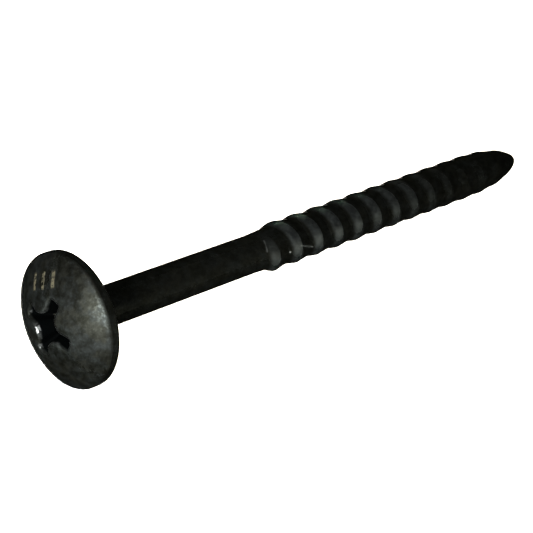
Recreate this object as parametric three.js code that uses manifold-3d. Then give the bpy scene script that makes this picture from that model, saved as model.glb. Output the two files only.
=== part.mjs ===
// A washer-head wood screw with a cross recess, lying along X with its head at -X.
// Lengths are in millimetres, +Z is up, and distances called "along" run from the
// bearing face (the flat underside of the head) towards the point.
import * as THREE from "three";
import { mergeVertices } from "three/addons/utils/BufferGeometryUtils.js";
import Module from "manifold-3d";

const wasm = await Module();
wasm.setup();

// ---- driving dimensions ----
const HEAD_DIAMETER = 15.9;
const RIM_HEIGHT = 1.15; // straight edge of the head, between the bearing face and the dome
const CROWN_HEIGHT = 2.88; // dome above the rim
const EDGE_CHAMFER = 0.15;
const LENGTH = 83; // bearing face to the end of the point
const SHANK_DIAMETER = 4.8;
const NECK_RADIUS = 0.5; // fillet where the shank meets the bearing face
const THREAD_START = 29.23; // bearing face to the first of the thread
const PITCH = 3.83;
const THREAD_DIAMETER = 6.0;
const CORE_DIAMETER = 5.4; // bottom of the thread's valleys where it starts
const CORE_END_DIAMETER = 5.75; // bottom of the valleys where the point starts
const RUN_IN = 7; // length over which the shank swells to the core
const RUN_IN_LEAD = 0.3; // share of it that lies before the thread starts
const RUN_IN_TURNS = 0.45; // turns over which the ridge rises to its full height
const RUN_OUT_TURNS = 0.6; // turns over which it sinks away at the point
const THREAD_PHASE = 0.25; // turns round the axis, from +Y towards +Z, where it starts
const THREAD_END_GAP = 2; // last of the thread to the end of the point
const POINT_LENGTH = 14; // tapered end
const POINT_SLENDERNESS = 2.7; // how late the taper starts: a larger number is later
const POINT_ROUNDNESS = 0.62; // how blunt its end is: a smaller number is blunter
const POINT_END_RADIUS = 0.25;
const RECESS_WIDTH = 7; // across opposite arms of the cross, at the mouth
const RECESS_WEB = 1.65; // axis to the round web between two arms, at the mouth
const RECESS_WEB_RADIUS = 1.75;
const RECESS_DEPTH = 3.1; // top of the dome to where the arms end
const RECESS_FLOOR = 0.7; // the conical end below the arms
const RECESS_TAPER = 0.5; // size of the cross where the arms end, over that at the mouth
const RECESS_END_TAPER = 0.1; // its size at the bottom of the conical end, the same way
const RECESS_TURN = 20; // degrees round the axis, from +Y towards +Z, to the first arm

// ---- worked out from them ----
const HEAD_RADIUS = HEAD_DIAMETER / 2;
const HEAD_HEIGHT = RIM_HEIGHT + CROWN_HEIGHT;
const SHANK_RADIUS = SHANK_DIAMETER / 2;
const THREAD_RADIUS = THREAD_DIAMETER / 2;
const POINT_START = LENGTH - POINT_LENGTH;
const ORIGIN_ALONG = (LENGTH - HEAD_HEIGHT) / 2; // half-way along the screw

const ROUND_SEGMENTS = 48;
const TURN_SEGMENTS = 22;

// Turns a geometry made round the Y axis so that its axis lies along X.
const LAY_ALONG_X = new THREE.Matrix4().set(0, 1, 0, 0, 0, 0, 1, 0, 1, 0, 0, 0, 0, 0, 0, 1);

const smooth = (t) => THREE.MathUtils.smoothstep(t, 0, 1);

// Share of the full radius that is left as the point narrows.
function pointTaper(along) {
  const share = THREE.MathUtils.clamp((along - POINT_START) / POINT_LENGTH, 0, 1);
  return Math.pow(1 - Math.pow(share, POINT_SLENDERNESS), POINT_ROUNDNESS);
}

// Radius of the plain body under the thread, which fills out towards the point.
function coreRadius(along) {
  const swell = smooth((along - THREAD_START) / RUN_IN + RUN_IN_LEAD);
  const share = THREE.MathUtils.clamp((along - THREAD_START) / (POINT_START - THREAD_START), 0, 1);
  const core = THREE.MathUtils.lerp(CORE_DIAMETER, CORE_END_DIAMETER, share) / 2;
  const radius = THREE.MathUtils.lerp(SHANK_RADIUS, core, swell);
  return Math.max(radius * pointTaper(along), POINT_END_RADIUS);
}

// How high the ridge may stand over the body, so that its crest keeps one line.
function ridgeRoom(along) {
  return Math.max(THREAD_RADIUS * pointTaper(along) - coreRadius(along), 0);
}

// Outline of head, neck, shank, core and point, from axis to axis.
function bodyOutline() {
  const outline = [];
  const add = (radius, along) => outline.push(new THREE.Vector2(radius, along));
  const domeRadius = (HEAD_RADIUS ** 2 + CROWN_HEIGHT ** 2) / (2 * CROWN_HEIGHT);
  const domeAngle = Math.asin(HEAD_RADIUS / domeRadius);
  const domeSteps = 10;
  for (let i = 0; i < domeSteps; i++) {
    const angle = (domeAngle * i) / domeSteps;
    add(domeRadius * Math.sin(angle), domeRadius * (1 - Math.cos(angle)) - HEAD_HEIGHT);
  }
  add(HEAD_RADIUS, EDGE_CHAMFER - RIM_HEIGHT);
  add(HEAD_RADIUS, -EDGE_CHAMFER);
  add(HEAD_RADIUS - EDGE_CHAMFER, 0);
  const neckSteps = 4;
  for (let i = 0; i <= neckSteps; i++) {
    const angle = (Math.PI / 2) * (i / neckSteps);
    const radius = SHANK_RADIUS + NECK_RADIUS * (1 - Math.sin(angle));
    add(radius, NECK_RADIUS * (1 - Math.cos(angle)));
  }
  const swellSteps = 4;
  for (let i = 0; i <= swellSteps; i++) {
    const along = THREAD_START + RUN_IN * (i / swellSteps - RUN_IN_LEAD);
    add(coreRadius(along), along);
  }
  const pointSteps = 11;
  for (let i = 0; i <= pointSteps; i++) {
    const along = POINT_START + POINT_LENGTH * Math.sin((Math.PI / 2) * (i / pointSteps));
    add(coreRadius(along), along);
  }
  add(0, LENGTH);
  return outline;
}

function turnedBody() {
  const body = new THREE.LatheGeometry(bodyOutline(), ROUND_SEGMENTS);
  return body.applyMatrix4(LAY_ALONG_X);
}

// The ridge's section, as [distance along in pitches, share of the ridge's height]: a slope
// on the head side, a narrow crest, and a longer slope on the point side. Its foot lies
// under the core's surface.
const RIDGE_SECTION = [
  [-0.39, -0.6],
  [-0.39, 0],
  [-0.03, 1],
  [0.03, 1],
  [0.48, 0],
  [0.48, -0.6],
];

// The thread: one closed ridge swept along a right-hand helix, its foot sunk in the core.
function threadRidge() {
  const allTurns = (LENGTH - THREAD_START - THREAD_END_GAP) / PITCH;
  const rings = Math.round(allTurns * TURN_SEGMENTS);
  const sink = 0.05; // how deep the slopes' feet go into the faceted core
  const positions = [];
  for (let i = 0; i <= rings; i++) {
    const turns = (allTurns * i) / rings;
    const angle = 2 * Math.PI * (turns + THREAD_PHASE);
    const rise = smooth(turns / RUN_IN_TURNS) * smooth((allTurns - turns) / RUN_OUT_TURNS);
    for (const [shift, share] of RIDGE_SECTION) {
      const along = THREAD_START + PITCH * (turns + shift);
      const height = ridgeRoom(along) + sink;
      const lift = share > 0 ? share * rise : share;
      const radius = coreRadius(along) - sink + height * lift;
      positions.push(along, radius * Math.cos(angle), radius * Math.sin(angle));
    }
  }
  const count = RIDGE_SECTION.length;
  const triangles = [];
  for (let i = 0; i < rings; i++) {
    for (let j = 0; j < count; j++) {
      const here = i * count + j;
      const next = i * count + ((j + 1) % count);
      triangles.push(here, here + count, next);
      triangles.push(next, here + count, next + count);
    }
  }
  const last = rings * count;
  for (let j = 1; j < count - 1; j++) {
    triangles.push(0, j, j + 1);
    triangles.push(last, last + j + 1, last + j);
  }
  const ridge = new THREE.BufferGeometry();
  ridge.setAttribute("position", new THREE.Float32BufferAttribute(positions, 3));
  ridge.setIndex(triangles);
  return ridge;
}

// The mouth of the recess: a cross whose four arms are parted by round webs.
function recessMouth() {
  const half = RECESS_WIDTH / 2;
  const webDistance = RECESS_WEB + RECESS_WEB_RADIUS;
  // A web's edge is followed from where it runs along one arm to where it runs along the next.
  const sweep = Math.PI / 2 + 0.35;
  const armHalfAngle = 0.2;
  const mouth = new THREE.Shape();
  for (let arm = 0; arm < 4; arm++) {
    const middle = (arm + 0.5) * (Math.PI / 2);
    const x = webDistance * Math.cos(middle);
    const y = webDistance * Math.sin(middle);
    const back = middle + Math.PI;
    mouth.absarc(x, y, RECESS_WEB_RADIUS, back + sweep / 2, back - sweep / 2, true);
    const tip = middle + Math.PI / 4;
    mouth.absarc(0, 0, half, tip - armHalfAngle, tip + armHalfAngle, false);
  }
  return mouth;
}

// The cutter for the recess: the tapered cross, then a short conical end.
function recessCutter() {
  const over = 0.4; // how far the cutter reaches past the dome
  const layers = [
    { along: -HEAD_HEIGHT - over, size: 1 + (over * (1 - RECESS_TAPER)) / RECESS_DEPTH },
    { along: RECESS_DEPTH - HEAD_HEIGHT, size: RECESS_TAPER },
    { along: RECESS_DEPTH + RECESS_FLOOR - HEAD_HEIGHT, size: RECESS_END_TAPER },
  ];
  const steps = layers.length - 1;
  const cutter = new THREE.ExtrudeGeometry(recessMouth(), {
    depth: steps,
    steps,
    bevelEnabled: false,
    curveSegments: 8,
  });
  const turn = THREE.MathUtils.degToRad(RECESS_TURN);
  const place = cutter.getAttribute("position");
  for (let i = 0; i < place.count; i++) {
    const layer = layers[Math.round(place.getZ(i))];
    const y = place.getX(i) * layer.size;
    const z = place.getY(i) * layer.size;
    place.setXYZ(
      i,
      layer.along,
      y * Math.cos(turn) - z * Math.sin(turn),
      y * Math.sin(turn) + z * Math.cos(turn),
    );
  }
  return cutter;
}

// A manifold solid from a closed three.js geometry.
function toSolid(geometry) {
  const bare = new THREE.BufferGeometry();
  bare.setAttribute("position", geometry.getAttribute("position"));
  bare.setIndex(geometry.getIndex());
  const merged = mergeVertices(bare, 1e-4);
  return new wasm.Manifold(
    new wasm.Mesh({
      numProp: 3,
      vertProperties: merged.getAttribute("position").array,
      triVerts: new Uint32Array(merged.getIndex().array),
    }),
  );
}

// A three.js geometry from a manifold solid.
function toGeometry(solid) {
  const cut = solid.getMesh();
  const geometry = new THREE.BufferGeometry();
  geometry.setAttribute("position", new THREE.BufferAttribute(cut.vertProperties, 3));
  geometry.setIndex(new THREE.BufferAttribute(cut.triVerts, 1));
  geometry.computeVertexNormals();
  return geometry;
}

// The screw is one piece of steel: headed, recessed and thread-rolled from one wire.
function screw() {
  const solid = toSolid(turnedBody())
    .add(toSolid(threadRidge()))
    .subtract(toSolid(recessCutter()));
  const coating = new THREE.MeshStandardMaterial({
    name: "black_coated_steel",
    color: 0x1c1f1c,
    metalness: 0.3,
    roughness: 0.55,
  });
  const mesh = new THREE.Mesh(toGeometry(solid), coating);
  mesh.name = "screw";
  return mesh;
}

const part = new THREE.Group();
part.position.x = -ORIGIN_ALONG;
part.add(screw());
export default part;
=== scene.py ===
"""A wood screw with a wide domed head, a cross recess and a coarse rolled thread.

The screw lies along X with its head at -X. Distances called "along" run from the
bearing face, the flat underside of the head, towards the point. Lengths are in metres.
"""

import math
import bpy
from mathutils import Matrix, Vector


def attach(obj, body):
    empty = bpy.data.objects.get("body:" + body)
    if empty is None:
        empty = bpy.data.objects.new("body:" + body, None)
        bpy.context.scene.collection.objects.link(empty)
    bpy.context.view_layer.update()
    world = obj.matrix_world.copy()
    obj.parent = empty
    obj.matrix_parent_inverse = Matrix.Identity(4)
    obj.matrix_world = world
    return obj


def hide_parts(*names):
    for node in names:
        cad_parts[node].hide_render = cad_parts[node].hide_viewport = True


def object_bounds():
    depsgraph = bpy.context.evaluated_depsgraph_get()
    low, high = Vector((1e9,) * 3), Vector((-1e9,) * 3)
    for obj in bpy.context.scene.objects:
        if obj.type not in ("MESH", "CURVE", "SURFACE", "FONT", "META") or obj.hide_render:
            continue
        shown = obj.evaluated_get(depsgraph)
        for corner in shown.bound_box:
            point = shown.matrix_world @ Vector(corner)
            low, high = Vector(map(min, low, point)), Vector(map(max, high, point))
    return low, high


bl_info = {
    "name": "Wood Screw",
    "version": (1, 0, 0),
    "blender": (4, 5, 0),
    "location": "3D View > Sidebar > Wood Screw",
    "description": "Makes a black coated wood screw and the pale stage it lies on",
    "category": "Add Mesh",
}

import bpy
from bpy.props import FloatProperty, FloatVectorProperty, PointerProperty
from bpy.types import Operator, Panel, PropertyGroup
from mathutils import Matrix, Vector

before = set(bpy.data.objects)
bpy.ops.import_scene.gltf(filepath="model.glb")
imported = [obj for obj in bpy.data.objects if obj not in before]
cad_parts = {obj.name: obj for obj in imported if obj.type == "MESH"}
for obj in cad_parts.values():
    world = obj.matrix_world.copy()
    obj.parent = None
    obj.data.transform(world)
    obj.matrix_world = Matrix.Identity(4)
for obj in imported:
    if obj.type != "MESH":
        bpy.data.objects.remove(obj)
CAD_LOW, CAD_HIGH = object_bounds()

MM = 0.001
ROUND_POINTS = 160  # points in each ring round the axis
POINT_SLENDERNESS = 2.7  # how late the point's taper starts: a larger number is later
POINT_ROUNDNESS = 0.62  # how blunt the point's end is: a smaller number is blunter
SWELL_LEAD = 0.3  # share of the run-in that lies before the thread's start
THREAD_END_GAP = 2.0 * MM  # from the ridge's last trace to the end of the point
RECESS_FLOOR = 0.7 * MM  # depth of the cone at the bottom of the recess
RECESS_LIP = 0.42 * MM  # radius of the rounding round the recess's mouth
RECESS_END_SIZE = 0.5  # size of the cross at the bottom of its walls, as a share of its mouth


# ---------------------------------------------------------------- what a user can change


def length_prop(name, description, millimetres):
    """A length in metres, with its default given in millimetres."""
    return FloatProperty(
        name=name,
        description=description,
        default=millimetres * MM,
        min=0.0,
        precision=5,
        subtype="DISTANCE",
        unit="LENGTH",
    )


def angle_prop(name, description, degrees):
    """An angle, with its default given in degrees."""
    return FloatProperty(
        name=name,
        description=description,
        default=math.radians(degrees),
        subtype="ANGLE",
        unit="ROTATION",
    )


def color_prop(name, description, default):
    """A colour, with its default given as linear red, green and blue."""
    return FloatVectorProperty(
        name=name,
        description=description,
        default=default,
        subtype="COLOR",
        min=0.0,
        max=1.0,
    )


def power_prop(name, description, watts):
    """A light's power, with its default given in watts."""
    return FloatProperty(name=name, description=description, default=watts, min=0.0, unit="POWER")


class ScrewSizes(PropertyGroup):
    """The screw's driving sizes."""

    length: length_prop("Length", "Bearing face to the end of the point", 83.0)
    rim_height: length_prop("Rim height", "Straight edge of the head", 1.15)
    crown_height: length_prop("Crown height", "Dome above the rim", 2.88)
    edge_radius: length_prop("Edge radius", "Rounding of the rim's two edges", 0.15)
    shank_diameter: length_prop("Shank diameter", "Plain part under the head", 4.8)
    neck_radius: length_prop("Neck radius", "Fillet between shank and head", 0.5)
    thread_start: length_prop("Thread start", "Bearing face to the thread", 29.23)
    thread_diameter: length_prop("Thread diameter", "Over the ridge's crest", 6.0)
    core_diameter: length_prop("Core diameter", "Valleys at the thread's start", 5.4)
    core_end_diameter: length_prop("Core end diameter", "Valleys where the point starts", 5.75)
    pitch: length_prop("Pitch", "One turn of the thread along the axis", 3.83)
    run_in: length_prop("Run-in", "Length over which shank swells to core", 7.0)
    point_length: length_prop("Point length", "Tapered end", 14.0)
    thread_phase: FloatProperty(
        name="Thread phase",
        description="Where round the axis the ridge starts, in turns from +Y to +Z",
        default=0.25,
    )
    recess_width: length_prop("Recess width", "Across opposite arms", 7.0)
    recess_web: length_prop("Recess web", "Axis to the web between arms", 1.65)
    recess_web_radius: length_prop("Web radius", "Roundness of the webs", 1.75)
    recess_depth: length_prop("Recess depth", "Dome top to the arms' ends", 3.1)
    recess_turn: angle_prop("Recess turn", "Angle from +Y towards +Z to the first arm", 20.0)


class CoatingLook(PropertyGroup):
    """Colours and gloss of the black coating, with the colours of its painted shade, highlight and glints.
    """

    dark: color_prop("Coating", "Colour of the coating", (0.0018, 0.0019, 0.0014))
    dusty: color_prop("Dusty coating", "Colour of the paler mottling", (0.0072, 0.0083, 0.0080))
    brownish: color_prop(
        "Brownish coating", "Colour of the mottling where the coating is thin", (0.0072, 0.0077, 0.0064)
    )
    worn: color_prop("Worn mark", "Colour of the faded bars on the dome", (0.043, 0.040, 0.027))
    # Painted shade: near black deep in the recess, standing in for the shade there.
    recess_shade_color: color_prop(
        "Recess", "Painted shade colour deep in the recess", (0.00020, 0.00025, 0.00025)
    )
    # Painted highlight: the paler colour of the head-side flanks, which face the key light.
    rolled: color_prop(
        "Flank highlight", "Painted highlight colour on the thread's head-side flanks", (0.0200, 0.0224, 0.0216)
    )
    # Bare steel colour for rubbed wear and scratches, and also for the painted glints at the recess's mouth
    # and where the ridge starts.
    bare_and_glint: color_prop(
        "Rubbed steel", "Colour where a driver has rubbed the coating off", (0.098, 0.105, 0.102)
    )
    roughness: FloatProperty(
        name="Roughness",
        description="Gloss of the coating, from mirror to chalk",
        default=0.42,
        min=0.0,
        max=1.0,
        subtype="FACTOR",
    )


class StageLook(PropertyGroup):
    """The floor, the lights and the camera."""

    floor: color_prop("Floor", "Colour of the floor", (0.97, 0.97, 0.97))
    key_power: power_prop("Key power", "Strength of the soft light in front of the head", 6.0)
    top_power: power_prop("Overhead power", "Strength of the wide light overhead", 5.0)
    back_power: power_prop(
        "Back power", "Strength of the light behind, which shines along the top edges", 20.0
    )
    back_color: color_prop("Back colour", "Colour of the light behind", (1.0, 0.93, 0.75))
    focal_length: FloatProperty(
        name="Focal length",
        description="The camera's focal length",
        default=101.3,
        min=1.0,
        unit="CAMERA",
    )
    azimuth: angle_prop("Azimuth", "Direction the camera looks in, from +X towards +Y", 44.11)
    elevation: angle_prop("Elevation", "How far the camera looks down", 21.30)
    distance: length_prop("Distance", "Camera to what it looks at", 188.0)


# ---------------------------------------------------------------- node building


class Number:
    """A node's output that can stand in a sum: each operator adds its own node."""

    def __init__(self, tree, socket):
        self.tree = tree
        self.socket = socket

    def __add__(self, other):
        return self.tree.math("ADD", self, other)

    def __radd__(self, other):
        return self.tree.math("ADD", other, self)

    def __sub__(self, other):
        return self.tree.math("SUBTRACT", self, other)

    def __rsub__(self, other):
        return self.tree.math("SUBTRACT", other, self)

    def __mul__(self, other):
        return self.tree.math("MULTIPLY", self, other)

    def __rmul__(self, other):
        return self.tree.math("MULTIPLY", other, self)

    def __truediv__(self, other):
        return self.tree.math("DIVIDE", self, other)


class NodeTree:
    """Adds nodes to a shader or geometry tree."""

    def __init__(self, tree):
        self.tree = tree
        self.nodes = tree.nodes
        self.links = tree.links

    def add(self, kind, settings=None, sockets=None):
        """One node: its settings first, then the values or links of its sockets."""
        node = self.nodes.new(kind)
        for name, value in (settings or {}).items():
            setattr(node, name, value)
        for name, value in (sockets or {}).items():
            socket = self.find(node.inputs, name)
            if isinstance(value, Number):
                self.links.new(value.socket, socket)
            elif isinstance(value, bpy.types.NodeSocket):
                self.links.new(value, socket)
            else:
                socket.default_value = value
        return node

    @staticmethod
    def find(sockets, name):
        """The socket of that number, identifier or name."""
        if isinstance(name, int):
            return sockets[name]
        for socket in sockets:
            if socket.identifier == name:
                return socket
        return sockets[name]

    def out(self, node, name=0):
        """A node's output, ready for sums."""
        return Number(self, self.find(node.outputs, name))

    def math(self, operation, *values):
        """A Math node on values or numbers."""
        node = self.add(
            "ShaderNodeMath",
            {"operation": operation},
            dict(enumerate(values)),
        )
        return self.out(node)

    def ramp(self, value, start, end, low=0.0, high=1.0, smooth=True):
        """low before start, high after end, and an even or smooth rise between."""
        node = self.add(
            "ShaderNodeMapRange",
            {"interpolation_type": "SMOOTHSTEP" if smooth else "LINEAR", "clamp": True},
            {"Value": value, "From Min": start, "From Max": end, "To Min": low, "To Max": high},
        )
        return self.out(node)

    def mix_color(self, factor, first, second):
        """The first colour where factor is 0, the second where it is 1."""
        node = self.add(
            "ShaderNodeMix",
            {"data_type": "RGBA"},
            {"Factor_Float": factor, "A_Color": first, "B_Color": second},
        )
        return self.find(node.outputs, "Result_Color")


# ---------------------------------------------------------------- the screw's shape


def smooth_step(value):
    """0 below 0, 1 above 1, and a smooth rise between."""
    value = min(max(value, 0.0), 1.0)
    return value * value * (3.0 - 2.0 * value)


def mix(first, second, share):
    """The value at a share of the way from the first to the second."""
    return first + (second - first) * share


def head_height(sizes):
    """Bearing face to where the dome's top would be without the recess."""
    return sizes.rim_height + sizes.crown_height


def head_radius():
    """Radius of the rim, taken from the solid model."""
    return CAD_HIGH.z


def bearing_x(sizes):
    """X of the bearing face: the point's end is where the solid model has it."""
    return CAD_HIGH.x - sizes.length


def dome_sphere(sizes):
    """Radius of the sphere that the dome is cut from."""
    return (head_radius() ** 2 + sizes.crown_height**2) / (2.0 * sizes.crown_height)


def dome_drop(sizes, radius):
    """How far the dome lies below its top, at a radius from the axis."""
    sphere = dome_sphere(sizes)
    return sphere - math.sqrt(sphere**2 - radius**2)


def point_taper(sizes, along):
    """Share of the full radius that is left as the point narrows."""
    share = (along - sizes.length + sizes.point_length) / sizes.point_length
    share = min(max(share, 0.0), 1.0)
    return (1.0 - share**POINT_SLENDERNESS) ** POINT_ROUNDNESS


def core_radius(sizes, along):
    """Radius of the plain body under the thread, which fills out towards the point."""
    swell = smooth_step((along - sizes.thread_start) / sizes.run_in + SWELL_LEAD)
    threaded = sizes.length - sizes.point_length - sizes.thread_start
    share = min(max((along - sizes.thread_start) / threaded, 0.0), 1.0)
    core = mix(sizes.core_diameter, sizes.core_end_diameter, share)
    radius = mix(sizes.shank_diameter, core, swell) / 2.0
    return radius * point_taper(sizes, along)


def ridge_room(sizes, along):
    """How high the ridge may stand over the body, so that its crest keeps one line."""
    crest = sizes.thread_diameter / 2.0 * point_taper(sizes, along)
    return max(crest - core_radius(sizes, along), 0.0)


def web_edge(sizes, angle):
    """Radius of the recess's mouth at an angle from the middle of a web."""
    web_limit = 0.96  # the web's circle is followed to this share of its half angle
    arm_start = 0.88  # and the arm's flare blends in from here,
    arm_flare = 0.22  # over this share more
    distance = sizes.recess_web + sizes.recess_web_radius
    tip = sizes.recess_width / 2.0
    reach = math.asin(sizes.recess_web_radius / distance)
    inside = min(abs(angle), web_limit * reach)
    chord = math.sqrt(sizes.recess_web_radius**2 - (distance * math.sin(inside)) ** 2)
    web = distance * math.cos(inside) - chord
    arm = smooth_step((abs(angle) - arm_start * reach) / (arm_flare * reach))
    return mix(web, tip, arm)


def recess_mouth(sizes):
    """The cross's outline as (angle, radius) pairs, evenly spaced along it."""
    fine = 2880  # angles tried round the mouth, from which the even ones are picked
    quarter = math.pi / 2.0
    polar = []
    for i in range(fine + 1):
        angle = 2.0 * math.pi * i / fine
        from_web = (angle % quarter) - quarter / 2.0
        polar.append((angle, web_edge(sizes, from_web)))
    walked = [0.0]
    for (a0, r0), (a1, r1) in zip(polar, polar[1:]):
        walked.append(walked[-1] + math.hypot(r1 - r0, (a1 - a0) * (r0 + r1) / 2.0))
    outline = []
    j = 0
    for i in range(ROUND_POINTS):
        target = walked[-1] * i / ROUND_POINTS
        while walked[j + 1] < target:
            j += 1
        outline.append(polar[j])
    return outline


def grown(flat, distance):
    """A closed outline of (y, z) points moved outwards by a distance."""
    count = len(flat)
    moved = []
    for i, (y, z) in enumerate(flat):
        before = flat[i - 1]
        after = flat[(i + 1) % count]
        side = Vector((after[1] - before[1], before[0] - after[0])).normalized()
        moved.append((y + side.x * distance, z + side.y * distance))
    return moved


def recess_rings(sizes):
    """Rings from the recess's floor up its walls and over its rounded mouth."""
    top = -head_height(sizes)
    turn = sizes.recess_turn
    mouth = [
        (radius * math.cos(angle + turn), radius * math.sin(angle + turn))
        for angle, radius in recess_mouth(sizes)
    ]
    rings = []
    floor_sizes = (0.05, 0.2, 0.35, 0.46)
    for size in floor_sizes:
        floor = sizes.recess_depth + RECESS_FLOOR * (1.0 - size / RECESS_END_SIZE)
        rings.append([(top + floor, y * size, z * size) for y, z in mouth])
    wall_steps = 12
    for i in range(wall_steps + 1):
        share = i / wall_steps
        depth = mix(sizes.recess_depth, RECESS_LIP, share)
        size = mix(RECESS_END_SIZE, 1.0, share)
        ring = []
        for y, z in mouth:
            drop = dome_drop(sizes, math.hypot(y, z)) * share
            ring.append((top + depth + drop, y * size, z * size))
        rings.append(ring)
    lip_steps = 5
    for i in range(1, lip_steps + 1):
        angle = math.pi / 2.0 * i / lip_steps
        depth = RECESS_LIP * (1.0 - math.sin(angle))
        ring = []
        for y, z in grown(mouth, RECESS_LIP * (1.0 - math.cos(angle))):
            drop = dome_drop(sizes, math.hypot(y, z))
            ring.append((top + depth + drop, y, z))
        rings.append(ring)
    return rings


def dome_rings(sizes, mouth_ring):
    """Rings over the dome, from the recess's mouth out to the rim."""
    top = -head_height(sizes)
    dome_edge_share = 0.6  # of the edge's radius, left for the rim's rounding
    plain_share = 0.56  # of the head's radius: beyond this the rings are circles
    edge = head_radius() - dome_edge_share * sizes.edge_radius
    plain = plain_share * head_radius()
    rings = []
    blend_steps = 12
    for i in range(1, blend_steps + 1):
        share = i / blend_steps
        ring = []
        for j, (_, y, z) in enumerate(mouth_ring):
            angle = sizes.recess_turn + 2.0 * math.pi * j / ROUND_POINTS
            y = mix(y, plain * math.cos(angle), share)
            z = mix(z, plain * math.sin(angle), share)
            ring.append((top + dome_drop(sizes, math.hypot(y, z)), y, z))
        rings.append(ring)
    outer_steps = 14
    for i in range(1, outer_steps + 1):
        radius = mix(plain, edge, i / outer_steps)
        rings.append(circle(sizes, top + dome_drop(sizes, radius), radius))
    return rings


def circle(sizes, along, radius):
    """A ring of points round the axis, which starts where the recess's first arm is."""
    ring = []
    for i in range(ROUND_POINTS):
        angle = sizes.recess_turn + 2.0 * math.pi * i / ROUND_POINTS
        ring.append((along, radius * math.cos(angle), radius * math.sin(angle)))
    return ring


def rim_and_neck_rings(sizes):
    """Rings over the rim, across the bearing face and down the neck's fillet."""
    edge = sizes.edge_radius
    outer = head_radius() - edge
    rings = []
    steps = 5
    dome_side = math.radians(30.0)  # where the rounding takes over from the dome
    for i in range(1, steps + 1):
        angle = mix(dome_side, math.pi / 2.0, i / steps)
        along = edge - sizes.rim_height - edge * math.cos(angle)
        rings.append(circle(sizes, along, outer + edge * math.sin(angle)))
    rim_steps = 4
    for i in range(1, rim_steps):
        along = mix(edge - sizes.rim_height, -edge, i / rim_steps)
        rings.append(circle(sizes, along, head_radius()))
    for i in range(steps + 1):
        angle = math.pi / 2.0 * i / steps
        along = edge * (math.sin(angle) - 1.0)
        rings.append(circle(sizes, along, outer + edge * math.cos(angle)))
    shank = sizes.shank_diameter / 2.0
    neck = sizes.neck_radius
    face_steps = 6
    for i in range(1, face_steps):
        rings.append(circle(sizes, 0.0, mix(outer, shank + neck, i / face_steps)))
    neck_steps = 8
    for i in range(neck_steps + 1):
        angle = math.pi / 2.0 * i / neck_steps
        radius = shank + neck * (1.0 - math.sin(angle))
        rings.append(circle(sizes, neck * (1.0 - math.cos(angle)), radius))
    return rings


def shank_and_core_rings(sizes):
    """Rings down the plain shank, then close together where the thread is rolled."""
    lead_turns = 0.6  # fine rings start this many turns before the thread
    ring_spacing = 0.13 * MM
    first = sizes.thread_start - lead_turns * sizes.pitch
    shank = sizes.shank_diameter / 2.0
    rings = []
    shank_steps = 16
    for i in range(1, shank_steps + 1):
        along = mix(sizes.neck_radius, first, i / shank_steps)
        rings.append(circle(sizes, along, shank))
    taper_start = sizes.length - sizes.point_length
    thread_steps = round((taper_start - first) / ring_spacing)
    for i in range(1, thread_steps + 1):
        along = mix(first, taper_start, i / thread_steps)
        rings.append(circle(sizes, along, core_radius(sizes, along)))
    point_steps = 150
    for i in range(1, point_steps):
        along = taper_start + sizes.point_length * math.sin(math.pi / 2.0 * i / point_steps)
        rings.append(circle(sizes, along, core_radius(sizes, along)))
    return rings


def closed_mesh(name, rings, first_pole, last_pole):
    """A closed mesh from rings of points, with a fan of triangles at each end."""
    points = [point for ring in rings for point in ring]
    start = len(points)
    points += [first_pole, last_pole]
    count = ROUND_POINTS
    faces = []
    last = (len(rings) - 1) * count
    for j in range(count):
        after = (j + 1) % count
        faces.append((start, after, j))
        faces.append((start + 1, last + j, last + after))
        for i in range(len(rings) - 1):
            here = i * count
            faces.append((here + j, here + after, here + count + after, here + count + j))
    mesh = bpy.data.meshes.new(name)
    mesh.from_pydata(points, [], faces)
    mesh.validate()
    return mesh


def screw_blank(sizes):
    """The headed, recessed and pointed blank, before its thread is rolled."""
    recess = recess_rings(sizes)
    rings = recess + dome_rings(sizes, recess[-1])
    rings += rim_and_neck_rings(sizes) + shank_and_core_rings(sizes)
    pole_dip = 0.02 * MM
    floor = (recess[0][0][0] + pole_dip, 0.0, 0.0)
    mesh = closed_mesh("screw", rings, floor, (sizes.length, 0.0, 0.0))
    room = mesh.attributes.new("ridge_room", "FLOAT", "POINT")
    room.data.foreach_set("value", [ridge_room(sizes, vertex.co.x) for vertex in mesh.vertices])
    mesh.transform(Matrix.Translation((bearing_x(sizes), 0.0, 0.0)))
    screw = bpy.data.objects.new("screw", mesh)
    bpy.context.scene.collection.objects.link(screw)
    return screw


# ---------------------------------------------------------------- the rolled thread


THREAD_INPUTS = (
    ("Start", "NodeSocketFloat"),
    ("Pitch", "NodeSocketFloat"),
    ("Phase", "NodeSocketFloat"),
    ("Turns", "NodeSocketFloat"),
    ("Rise Turns", "NodeSocketFloat"),
    ("Fall Turns", "NodeSocketFloat"),
    ("Head Flank", "NodeSocketFloat"),
    ("Crest", "NodeSocketFloat"),
    ("Point Flank", "NodeSocketFloat"),
    ("Coating", "NodeSocketMaterial"),
)


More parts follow.
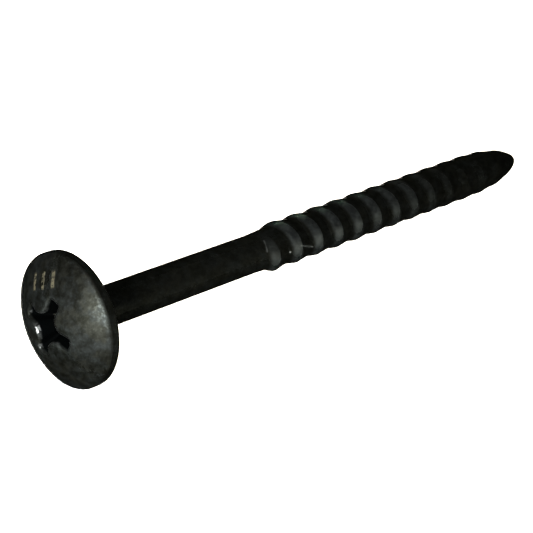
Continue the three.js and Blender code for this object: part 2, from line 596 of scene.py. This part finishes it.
def thread_tree():
    """Raises one right-hand ridge on a blank that lies along X."""
    group = bpy.data.node_groups.new("rolled_thread", "GeometryNodeTree")
    face = group.interface
    face.new_socket("Blank", in_out="INPUT", socket_type="NodeSocketGeometry")
    for name, kind in THREAD_INPUTS:
        face.new_socket(name, in_out="INPUT", socket_type=kind)
    face.new_socket("Screw", in_out="OUTPUT", socket_type="NodeSocketGeometry")
    tree = NodeTree(group)
    given = tree.add("NodeGroupInput")
    value = {name: tree.out(given, name) for name, _ in THREAD_INPUTS}

    place = tree.add("GeometryNodeInputPosition").outputs[0]
    split = tree.add("ShaderNodeSeparateXYZ", None, {0: place})
    x, y, z = (tree.out(split, i) for i in range(3))
    round_axis = tree.math("ARCTAN2", z, y) / (2.0 * math.pi) - value["Phase"]
    # How many turns the point lies past the ridge's middle, and which turn that is.
    passed = (x - value["Start"]) / value["Pitch"] - round_axis
    turn = tree.math("ROUND", passed)
    shift = passed - turn
    own_turns = turn + round_axis

    head_side = tree.ramp(
        shift + value["Head Flank"] + value["Crest"] / 2.0, 0.0, value["Head Flank"], smooth=False
    )
    point_side = tree.ramp(
        shift - value["Crest"] / 2.0, 0.0, value["Point Flank"], 1.0, 0.0, smooth=False
    )
    rise = tree.ramp(own_turns, 0.0, value["Rise Turns"])
    fall = tree.ramp(value["Turns"] - own_turns, 0.0, value["Fall Turns"])
    height = head_side * point_side * rise * fall

    room = tree.out(
        tree.add(
            "GeometryNodeInputNamedAttribute", {"data_type": "FLOAT"}, {"Name": "ridge_room"}
        )
    )
    outwards = tree.add("ShaderNodeCombineXYZ", None, {1: y, 2: z}).outputs[0]
    unit = tree.add("ShaderNodeVectorMath", {"operation": "NORMALIZE"}, {0: outwards})
    offset = tree.add(
        "ShaderNodeVectorMath",
        {"operation": "SCALE"},
        {0: unit.outputs[0], "Scale": height * room},
    )
    rolled = tree.add(
        "GeometryNodeSetPosition",
        None,
        {"Geometry": given.outputs["Blank"], "Offset": offset.outputs[0]},
    )
    # The head-side flank and the crest are smoother, most where the ridge stands high. The same share makes
    # their colour paler: a painted highlight on the flanks that face the key light.
    past_crest = tree.ramp(shift - value["Crest"] / 2.0, 0.0, 0.04, 1.0, 0.0)
    flank = tree.ramp(head_side, 0.0, 0.55) * past_crest
    smooth_lit_flank = flank * rise * fall * tree.ramp(room, 0.12 * MM, 0.26 * MM)
    stored = tree.add(
        "GeometryNodeStoreNamedAttribute",
        {"data_type": "FLOAT", "domain": "POINT"},
        {"Geometry": rolled.outputs[0], "Name": "smooth_lit_flank", "Value": smooth_lit_flank},
    )
    real = tree.add("GeometryNodeRealizeInstances", None, {0: stored.outputs[0]})
    coated = tree.add(
        "GeometryNodeSetMaterial",
        None,
        {"Geometry": real.outputs[0], "Material": given.outputs["Coating"]},
    )
    tree.add("NodeGroupOutput", None, {0: coated.outputs[0]})
    return group


def roll_thread(screw, sizes, coating):
    """Rolls the thread into the blank and leaves a plain mesh."""
    group = thread_tree()
    modifier = screw.modifiers.new("thread", "NODES")
    modifier.node_group = group
    settings = {
        "Start": bearing_x(sizes) + sizes.thread_start,
        "Pitch": sizes.pitch,
        "Phase": sizes.thread_phase,
        "Turns": (sizes.length - sizes.thread_start - THREAD_END_GAP) / sizes.pitch,
        "Rise Turns": 0.45,
        "Fall Turns": 0.6,
        "Head Flank": 0.36,
        "Crest": 0.06,
        "Point Flank": 0.45,
        "Coating": coating,
    }
    for item in group.interface.items_tree:
        if item.name in settings:
            modifier[item.identifier] = settings[item.name]
    depsgraph = bpy.context.evaluated_depsgraph_get()
    depsgraph.update()
    rolled = bpy.data.meshes.new_from_object(screw.evaluated_get(depsgraph))
    screw.modifiers.clear()
    blank = screw.data
    screw.data = rolled
    bpy.data.meshes.remove(blank)
    rolled.name = "screw"
    rolled.shade_smooth()


# ---------------------------------------------------------------- the coating


BAR_Y = 1.2 * MM
BAR_Z = 5.0 * MM
BAR_LEAN = math.radians(-20.0)
BAR_SPACING = 1.6 * MM
# Painted glints at the recess's mouth, one on a web's rounded lip and two at arms' ends: strength, then Y,
# Z and size in mm.
GLINT_SPOTS = (
    (1.0, 1.6, -0.65, 0.5),
    (0.2, 3.2, 0.8, 0.3),
    (0.2, 1.8, -2.8, 0.35),
)
# Scratches on the thread, and one painted glint where the ridge starts: strength, then both ends and the
# width in mm. The ends are given along, Y and Z, from the middle of the bearing face.
SCRATCHES_AND_GLINT = (
    (0.6, (32.2, -2.63, -0.20), (32.3, -2.63, -0.24), 0.15),
    (0.2, (33.9, -2.93, 0.28), (36.4, -2.70, -0.65), 0.15),
    # Painted glint: the thin bright line on the ridge's edge where the thread starts.
    (0.15, (28.7, -1.55, 1.88), (28.5, -2.30, 0.80), 0.18),
)


def faded_bars(tree, y, z, dome):
    """Three short plain bars on the dome: 1 inside a bar, 0 outside."""
    from_y = y - BAR_Y
    from_z = z - BAR_Z
    across = from_y * math.cos(BAR_LEAN) + from_z * math.sin(BAR_LEAN)
    upward = from_z * math.cos(BAR_LEAN) - from_y * math.sin(BAR_LEAN)
    nearest = tree.math("ROUND", across / BAR_SPACING)
    from_bar = tree.math("ABSOLUTE", across - nearest * BAR_SPACING)
    inside = tree.ramp(from_bar, 0.14 * MM, 0.34 * MM, 1.0, 0.0)
    three = tree.ramp(tree.math("ABSOLUTE", across), 2.35 * MM, 2.37 * MM, 1.0, 0.0)
    short = tree.ramp(tree.math("ABSOLUTE", upward), 0.7 * MM, 1.0 * MM, 1.0, 0.0)
    return inside * three * short * dome


def glint_spot(tree, y, z, middle_y, middle_z, size):
    """1 near a place on the head, 0 further off than its size. All are in mm."""
    from_y = y - middle_y * MM
    from_z = z - middle_z * MM
    distance = tree.math("SQRT", from_y * from_y + from_z * from_z)
    return tree.ramp(distance, 0.6 * size * MM, size * MM, 1.0, 0.0)


def scratch(tree, sizes, place, start, end, width):
    """1 on a fine line between two points, given in mm from the bearing face's middle."""
    bearing = Vector((bearing_x(sizes), 0.0, 0.0))
    start = bearing + Vector(start) * MM
    line = bearing + Vector(end) * MM - start
    way = line.normalized()
    from_start = [value - corner for value, corner in zip(place, start)]
    walked = from_start[0] * way.x + from_start[1] * way.y + from_start[2] * way.z
    walked = tree.ramp(walked, 0.0, line.length, 0.0, line.length, smooth=False)
    beside = [value - walked * part for value, part in zip(from_start, way)]
    distance = tree.math(
        "SQRT", beside[0] * beside[0] + beside[1] * beside[1] + beside[2] * beside[2]
    )
    return tree.ramp(distance, 0.5 * width * MM, width * MM, 1.0, 0.0)


def grain(tree, place, size, detail):
    """Noise between 0 and 1 whose patches are about a size across."""
    node = tree.add(
        "ShaderNodeTexNoise",
        {"noise_dimensions": "3D"},
        {"Vector": place, "Scale": 1.0 / size, "Detail": detail, "Roughness": 0.6},
    )
    return tree.out(node, "Fac")


def head_masks(tree, sizes, x, y, z):
    """Where the dome, the inside of the recess, which gets a painted shade, and the edge of its mouth are.
    """
    dome_edge = bearing_x(sizes) - sizes.rim_height
    dome = tree.ramp(x, dome_edge - 0.1 * MM, dome_edge, 1.0, 0.0)
    radius = tree.math("SQRT", y * y + z * z)
    sphere = dome_sphere(sizes)
    bulge = tree.math("SQRT", sphere**2 - radius * radius)
    # How far a point lies below the dome's surface, which is only so in the recess.
    depth = x - (bearing_x(sizes) - head_height(sizes) + sphere) + bulge
    near_axis = tree.ramp(radius, 3.8 * MM, 4.0 * MM, 1.0, 0.0) * dome
    # Inside the recess, where the painted shade goes: the deeper, the darker.
    recess_shade = tree.ramp(depth, 0.08 * MM, 0.55 * MM) * near_axis
    lip = tree.ramp(depth, 0.01 * MM, 0.06 * MM) * tree.ramp(depth, 0.3 * MM, 0.6 * MM, 1.0, 0.0)
    web_lip = lip * tree.ramp(radius, 2.1 * MM, 2.5 * MM, 1.0, 0.0) * dome
    return dome, recess_shade, lip, web_lip


def wear_and_glint_share(tree, sizes, xyz, lip, web_lip, breakup):
    """Share of bare steel colour: faint wear on the webs' lips and scratches, plus painted glints at the
    recess's mouth and at the ridge's start.
    """
    lip_wear_and_glints = 0.06 * web_lip
    for strength, middle_y, middle_z, size in GLINT_SPOTS:
        spot = glint_spot(tree, xyz[1], xyz[2], middle_y, middle_z, size)
        lip_wear_and_glints = lip_wear_and_glints + strength * lip * spot
    scratches_and_glint = 0.0
    for strength, start, end, width in SCRATCHES_AND_GLINT:
        scratches_and_glint = scratches_and_glint + strength * scratch(tree, sizes, xyz, start, end, width)
    patchy = lip_wear_and_glints * breakup
    return tree.math("MINIMUM", patchy + scratches_and_glint, 1.0)


def black_coating(sizes, look):
    """A matt black coating over steel, mottled and a little worn, with painted shade in the recess, a
    painted highlight on the thread's flanks and painted glints.
    """
    material = bpy.data.materials.new("black_coating")
    material.use_nodes = True
    tree = NodeTree(material.node_tree)
    tree.nodes.clear()
    place = tree.add("ShaderNodeTexCoord").outputs["Object"]
    split = tree.add("ShaderNodeSeparateXYZ", None, {0: place})
    x, y, z = (tree.out(split, i) for i in range(3))
    dome, recess_shade, lip, web_lip = head_masks(tree, sizes, x, y, z)

    mottle = tree.ramp(grain(tree, place, 0.9 * MM, 4.0), 0.35, 0.65)
    speckle = tree.ramp(grain(tree, place, 0.3 * MM, 2.0), 0.45, 0.68)
    cloud = tree.ramp(grain(tree, place, 5.0 * MM, 2.0), 0.3, 0.7)
    warm = tree.ramp(grain(tree, place, 2.2 * MM, 3.0), 0.42, 0.6)
    chipped = tree.ramp(grain(tree, place, 0.35 * MM, 3.0), 0.34, 0.52)
    breakup = tree.ramp(grain(tree, place, 0.5 * MM, 2.0), 0.35, 0.55)

    # The paler mottling is half as strong away from the dome, so the shank and the thread come out darker
    # than the head.
    dusty = (0.4 * mottle + 0.35 * speckle + 0.25 * cloud) * (0.5 + 0.5 * dome)
    dust = tree.mix_color(warm, (*look.dusty, 1.0), (*look.brownish, 1.0))
    coating = tree.mix_color(dusty, (*look.dark, 1.0), dust)
    named = tree.add("ShaderNodeAttribute", {"attribute_name": "smooth_lit_flank"})
    smooth_lit_flank = tree.out(named, "Fac")
    # Painted highlight: the head-side flanks and crests, which face the key light, take a paler colour.
    coat = tree.mix_color(smooth_lit_flank * (0.7 + 0.3 * mottle), coating, (*look.rolled, 1.0))
    mark = faded_bars(tree, y, z, dome) * chipped
    marked = tree.mix_color(mark, coat, (*look.worn, 1.0))
    # Painted shade: the recess turns near black towards its depth.
    recess_shaded = tree.mix_color(recess_shade, marked, (*look.recess_shade_color, 1.0))
    # Bare steel for wear and scratches, and painted glints at the recess's mouth and the ridge's start.
    wear_and_glint = wear_and_glint_share(tree, sizes, (x, y, z), lip, web_lip, breakup)
    color = tree.mix_color(wear_and_glint, recess_shaded, (*look.bare_and_glint, 1.0))

    roughness = look.roughness + 0.12 * mottle - 0.10 * speckle - 0.2 * wear_and_glint - 0.05 * smooth_lit_flank
    relief = 0.6 * grain(tree, place, 0.22 * MM, 3.0) + 0.4 * grain(tree, place, 0.8 * MM, 2.0)
    bump = tree.add(
        "ShaderNodeBump",
        None,
        {"Strength": 0.5, "Distance": 0.03 * MM, "Height": relief},
    )
    shader = tree.add(
        "ShaderNodeBsdfPrincipled",
        None,
        {
            "Base Color": color,
            "Roughness": roughness,
            # Painted shade too: the recess is not metallic, so it stays black, except at the worn and
            # glinting spots.
            "Metallic": (0.8 + 0.2 * smooth_lit_flank) * (1.0 - recess_shade) + 0.8 * wear_and_glint * recess_shade,
            "Specular IOR Level": 0.0,
            "Specular Tint": (0.1, 0.1, 0.1, 1.0),
            "Normal": bump.outputs[0],
        },
    )
    tree.add("ShaderNodeOutputMaterial", None, {"Surface": shader.outputs[0]})
    return material


# ---------------------------------------------------------------- the stage


SURROUND_STRENGTH = 0.6
LOOK_AT = Vector((-8.37, 0.35, -2.63)) * MM  # the point in the middle of the picture
# Each light's azimuth and elevation in degrees, distance and width in metres.
KEY_PLACE = (210.0, 12.0, 0.22, 0.08)
OVERHEAD_PLACE = (200.0, 75.0, 1.2, 1.0)
BACK_PLACE = (42.0, 38.0, 0.7, 0.4)


def pale_floor(look):
    """A wide pale floor that the head's rim rests on."""
    reach = 3.0
    height = CAD_LOW.z
    mesh = bpy.data.meshes.new("floor")
    corners = [(-reach, -reach), (reach, -reach), (reach, reach), (-reach, reach)]
    mesh.from_pydata([(x, y, height) for x, y in corners], [], [(0, 1, 2, 3)])
    floor = bpy.data.objects.new("floor", mesh)
    material = bpy.data.materials.new("pale_floor")
    material.use_nodes = True
    tree = NodeTree(material.node_tree)
    tree.nodes.clear()
    place = tree.add("ShaderNodeTexCoord").outputs["Object"]
    noise = tree.add("ShaderNodeTexNoise", None, {"Vector": place, "Scale": 30.0})
    shade = tree.mix_color(
        tree.out(noise, "Fac"), (*look.floor, 1.0), (*[c * 0.99 for c in look.floor], 1.0)
    )
    shader = tree.add(
        "ShaderNodeBsdfPrincipled",
        None,
        {"Base Color": shade, "Roughness": 0.9, "Specular IOR Level": 0.1},
    )
    tree.add("ShaderNodeOutputMaterial", None, {"Surface": shader.outputs[0]})
    mesh.materials.append(material)
    bpy.context.scene.collection.objects.link(floor)
    return floor


def soft_light(name, target, place, power):
    """A round soft light, aimed at a point from its azimuth (from +X) and elevation."""
    azimuth = math.radians(place[0])
    elevation = math.radians(place[1])
    distance, size = place[2:]
    away = Vector((
        math.cos(azimuth) * math.cos(elevation),
        math.sin(azimuth) * math.cos(elevation),
        math.sin(elevation),
    ))
    light = bpy.data.lights.new(name, "AREA")
    light.shape = "DISK"
    light.size = size
    light.energy = power
    lamp = bpy.data.objects.new(name, light)
    lamp.location = target + away * distance
    lamp.rotation_euler = away.to_track_quat("Z", "Y").to_euler()
    lamp.visible_camera = False
    bpy.context.scene.collection.objects.link(lamp)
    return lamp


def pale_world(strength):
    """An even pale surround."""
    world = bpy.data.worlds.new("surround")
    world.use_nodes = True
    tree = NodeTree(world.node_tree)
    tree.nodes.clear()
    glow = tree.add(
        "ShaderNodeBackground", None, {"Color": (1.0, 1.0, 1.0, 1.0), "Strength": strength}
    )
    tree.add("ShaderNodeOutputWorld", None, {"Surface": glow.outputs[0]})
    bpy.context.scene.world = world


def place_camera(look):
    """A camera that looks down the screw from in front of its head."""
    camera = bpy.data.cameras.new("camera")
    camera.lens = look.focal_length
    camera.sensor_width = 36.0
    camera.clip_start = 0.01
    camera.clip_end = 20.0
    forward = Vector((
        math.cos(look.azimuth) * math.cos(look.elevation),
        math.sin(look.azimuth) * math.cos(look.elevation),
        -math.sin(look.elevation),
    ))
    holder = bpy.data.objects.new("camera", camera)
    holder.location = LOOK_AT - forward * look.distance
    holder.rotation_euler = (-forward).to_track_quat("Z", "Y").to_euler()
    bpy.context.scene.collection.objects.link(holder)
    bpy.context.scene.camera = holder


# ---------------------------------------------------------------- operators and panel


class WOODSCREW_OT_make_screw(Operator):
    """Makes the coated screw: head, recess, shank, rolled thread and point."""

    bl_idname = "woodscrew.make_screw"
    bl_label = "Make Screw"
    bl_options = {"REGISTER", "UNDO"}

    def execute(self, context):
        sizes = context.scene.woodscrew_sizes
        coating = black_coating(sizes, context.scene.woodscrew_coating)
        screw = screw_blank(sizes)
        roll_thread(screw, sizes, coating)
        if not screw.data.polygons:
            raise RuntimeError("the screw has no faces")
        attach(screw, "root")
        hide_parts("screw")
        return {"FINISHED"}


class WOODSCREW_OT_make_stage(Operator):
    """Makes the pale floor, the surround, three soft lights and the camera."""

    bl_idname = "woodscrew.make_stage"
    bl_label = "Make Stage"
    bl_options = {"REGISTER", "UNDO"}

    def execute(self, context):
        look = context.scene.woodscrew_stage
        pale_floor(look)
        pale_world(SURROUND_STRENGTH)
        head = Vector((CAD_LOW.x, 0.0, 0.0))
        soft_light("key", head, KEY_PLACE, look.key_power)
        middle = Vector((0.0, 0.0, CAD_LOW.z))
        soft_light("overhead", middle, OVERHEAD_PLACE, look.top_power)
        back = soft_light("back", middle, BACK_PLACE, look.back_power)
        back.data.color = look.back_color
        place_camera(look)
        context.scene.view_settings.view_transform = "Standard"
        return {"FINISHED"}


class WOODSCREW_PT_panel(Panel):
    """Lists the settings, with the buttons that make the screw and the stage."""

    bl_label = "Wood Screw"
    bl_idname = "WOODSCREW_PT_panel"
    bl_space_type = "VIEW_3D"
    bl_region_type = "UI"
    bl_category = "Wood Screw"

    def draw(self, context):
        layout = self.layout
        scene = context.scene
        for settings, operator in (
            (scene.woodscrew_sizes, WOODSCREW_OT_make_screw),
            (scene.woodscrew_coating, None),
            (scene.woodscrew_stage, WOODSCREW_OT_make_stage),
        ):
            box = layout.box()
            for name in settings.__annotations__:
                box.prop(settings, name)
            if operator:
                box.operator(operator.bl_idname)


CLASSES = (
    ScrewSizes,
    CoatingLook,
    StageLook,
    WOODSCREW_OT_make_screw,
    WOODSCREW_OT_make_stage,
    WOODSCREW_PT_panel,
)


def register():
    """Adds the classes and the settings to Blender."""
    for cls in CLASSES:
        bpy.utils.register_class(cls)
    bpy.types.Scene.woodscrew_sizes = PointerProperty(type=ScrewSizes)
    bpy.types.Scene.woodscrew_coating = PointerProperty(type=CoatingLook)
    bpy.types.Scene.woodscrew_stage = PointerProperty(type=StageLook)


def unregister():
    """Takes the settings and the classes out again."""
    del bpy.types.Scene.woodscrew_stage
    del bpy.types.Scene.woodscrew_coating
    del bpy.types.Scene.woodscrew_sizes
    for cls in reversed(CLASSES):
        bpy.utils.unregister_class(cls)


def main():
    """Makes everything: the screw and its stage."""
    register()
    bpy.ops.woodscrew.make_screw()
    bpy.ops.woodscrew.make_stage()


if __name__ == "__main__":
    main()
